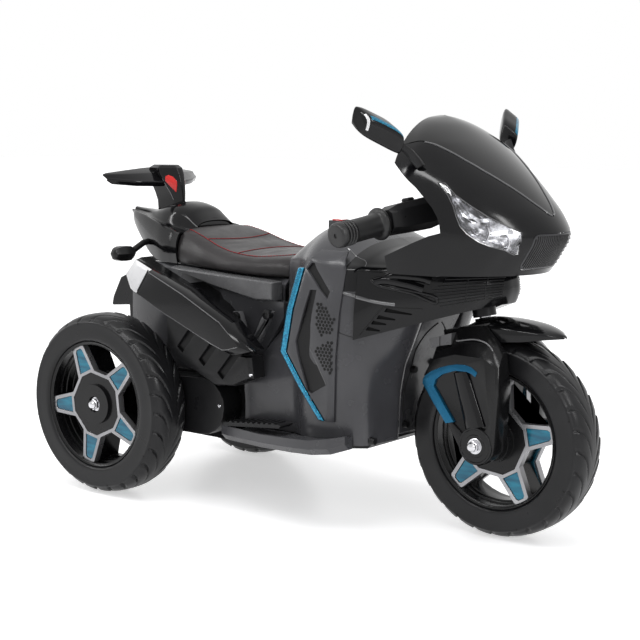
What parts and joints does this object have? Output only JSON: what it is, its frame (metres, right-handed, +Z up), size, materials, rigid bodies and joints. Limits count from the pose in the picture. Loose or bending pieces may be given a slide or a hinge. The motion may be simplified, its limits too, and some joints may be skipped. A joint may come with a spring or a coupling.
{
  "type": "ride-on toy trike",
  "caption": "Electric ride-on toy trike styled as a sports motorcycle, with steered front wheel, driven rear wheels, fairing, seat and foot pedal.",
  "frame": {"origin": "on the ground, midway between the front and rear axles, on the centre plane", "axes": "+X forward, +Y to the rider's left, +Z up"},
  "size_m": [0.955, 0.4666, 0.6375],
  "materials": {
    "gloss_black": "smooth gloss, moulded",
    "satin_black": "satin, moulded",
    "body_grey": "metallic dark grey, gloss",
    "side_grey": "mid grey, satin gloss",
    "tyre": "moulded tread",
    "silver_trim": "silver metallic",
    "blue_trim": "translucent blue, lightly ribbed",
    "clear_lens": "clear",
    "smoked_screen": "dark smoked gloss",
    "zinc_steel": "zinc plated",
    "leatherette": "grained leatherette",
    "grip_rubber": "soft, ribbed",
    "switch_red": "gloss red",
    "battery_case": "dull"
  },
  "bodies": {
    "trike_frame": {"chassis_tray": "satin_black", "battery": "battery_case", "rear_axle": "zinc_steel", "front_bulkhead": "satin_black", "chin_cover": "satin_black", "seat_base": "satin_black", "seat": "leatherette", "tail_cowl": "gloss_black", "rear_wing": "gloss_black", "plate_holder": "satin_black", "fairing": "gloss_black", "windscreen": "smoked_screen", "grille": "satin_black", "gearbox_right": "satin_black", "gearbox_left": "satin_black", "footboard_right": "satin_black", "footboard_left": "satin_black", "body_shell_right": "body_grey", "body_shell_left": "body_grey", "leg_shield_right": "body_grey", "leg_shield_left": "body_grey", "accent_strip_right": "blue_trim", "accent_strip_left": "blue_trim", "side_panel_right": "side_grey", "side_panel_left": "side_grey", "silencer_right": "satin_black", "silencer_left": "satin_black", "ribbed_cover_right": "satin_black", "ribbed_cover_left": "satin_black", "rear_signal_right": "satin_black", "rear_signal_left": "satin_black", "headlight_right": "clear_lens", "headlight_left": "clear_lens"},
    "steering": {"fork": "satin_black", "mudguard": "gloss_black", "steering_stem": "zinc_steel", "steering_collar": "zinc_steel", "handlebar": "satin_black", "front_axle": "zinc_steel", "grip_right": "grip_rubber", "grip_left": "grip_rubber"},
    "front_wheel": {"front_tyre": "tyre", "front_rim": "satin_black", "front_star_right": "silver_trim", "front_star_left": "silver_trim", "front_inserts_right": "blue_trim", "front_inserts_left": "blue_trim"},
    "rear_wheel_right": {"rear_tyre_right": "tyre", "rear_rim_right": "satin_black", "rear_star_right": "silver_trim", "rear_inserts_right": "blue_trim"},
    "rear_wheel_left": {"rear_tyre_left": "tyre", "rear_rim_left": "satin_black", "rear_star_left": "silver_trim", "rear_inserts_left": "blue_trim"},
    "pedal": {"accelerator_pedal": "satin_black"},
    "power_rocker": {"power_switch": "switch_red"},
    "horn_plunger": {"horn_button": "switch_red"},
    "mirror_right": {"mirror_right": "satin_black"},
    "mirror_left": {"mirror_left": "satin_black"}
  },
  "joints": [
    {"name": "steering_turn", "type": "hinge", "parent": "trike_frame", "child": "steering", "pos_m": [0.3275, 0, 0.15], "axis": [-0.2164, 0, 0.9763], "range_deg": [-22, 22]},
    {"name": "front_wheel_spin", "type": "hinge", "parent": "steering", "child": "front_wheel", "pos_m": [0.3275, 0, 0.15], "axis": [0, 1, 0], "continuous": true},
    {"name": "rear_wheel_spin_right", "type": "hinge", "parent": "trike_frame", "child": "rear_wheel_right", "pos_m": [-0.3275, -0.19, 0.15], "axis": [0, 1, 0], "continuous": true},
    {"name": "rear_wheel_spin_left", "type": "hinge", "parent": "trike_frame", "child": "rear_wheel_left", "pos_m": [-0.3275, 0.19, 0.15], "axis": [0, 1, 0], "continuous": true},
    {"name": "accelerator_press", "type": "hinge", "parent": "trike_frame", "child": "pedal", "pos_m": [-0.0895, -0.1525, 0.1402], "axis": [0, 1, 0], "range_deg": [0, 4], "stiffness_Nm_per_rad": 2, "springref_deg": -6.88},
    {"name": "power_rock", "type": "hinge", "parent": "trike_frame", "child": "power_rocker", "pos_m": [0.0325, -0.03, 0.4633], "axis": [0, 1, 0], "range_deg": [-5, 5]},
    {"name": "horn_press", "type": "slide", "parent": "steering", "child": "horn_plunger", "axis": [0.2164, 0, -0.9763], "range_m": [0, 0.0025], "stiffness_N_per_m": 300, "springref_m": -0.002},
    {"name": "mirror_tilt_right", "type": "hinge", "parent": "trike_frame", "child": "mirror_right", "pos_m": [0.2515, -0.1325, 0.563], "axis": [0, 1, 0], "range_deg": [-12, 12]},
    {"name": "mirror_tilt_left", "type": "hinge", "parent": "trike_frame", "child": "mirror_left", "pos_m": [0.2515, 0.1325, 0.563], "axis": [0, 1, 0], "range_deg": [-12, 12]}
  ]
}
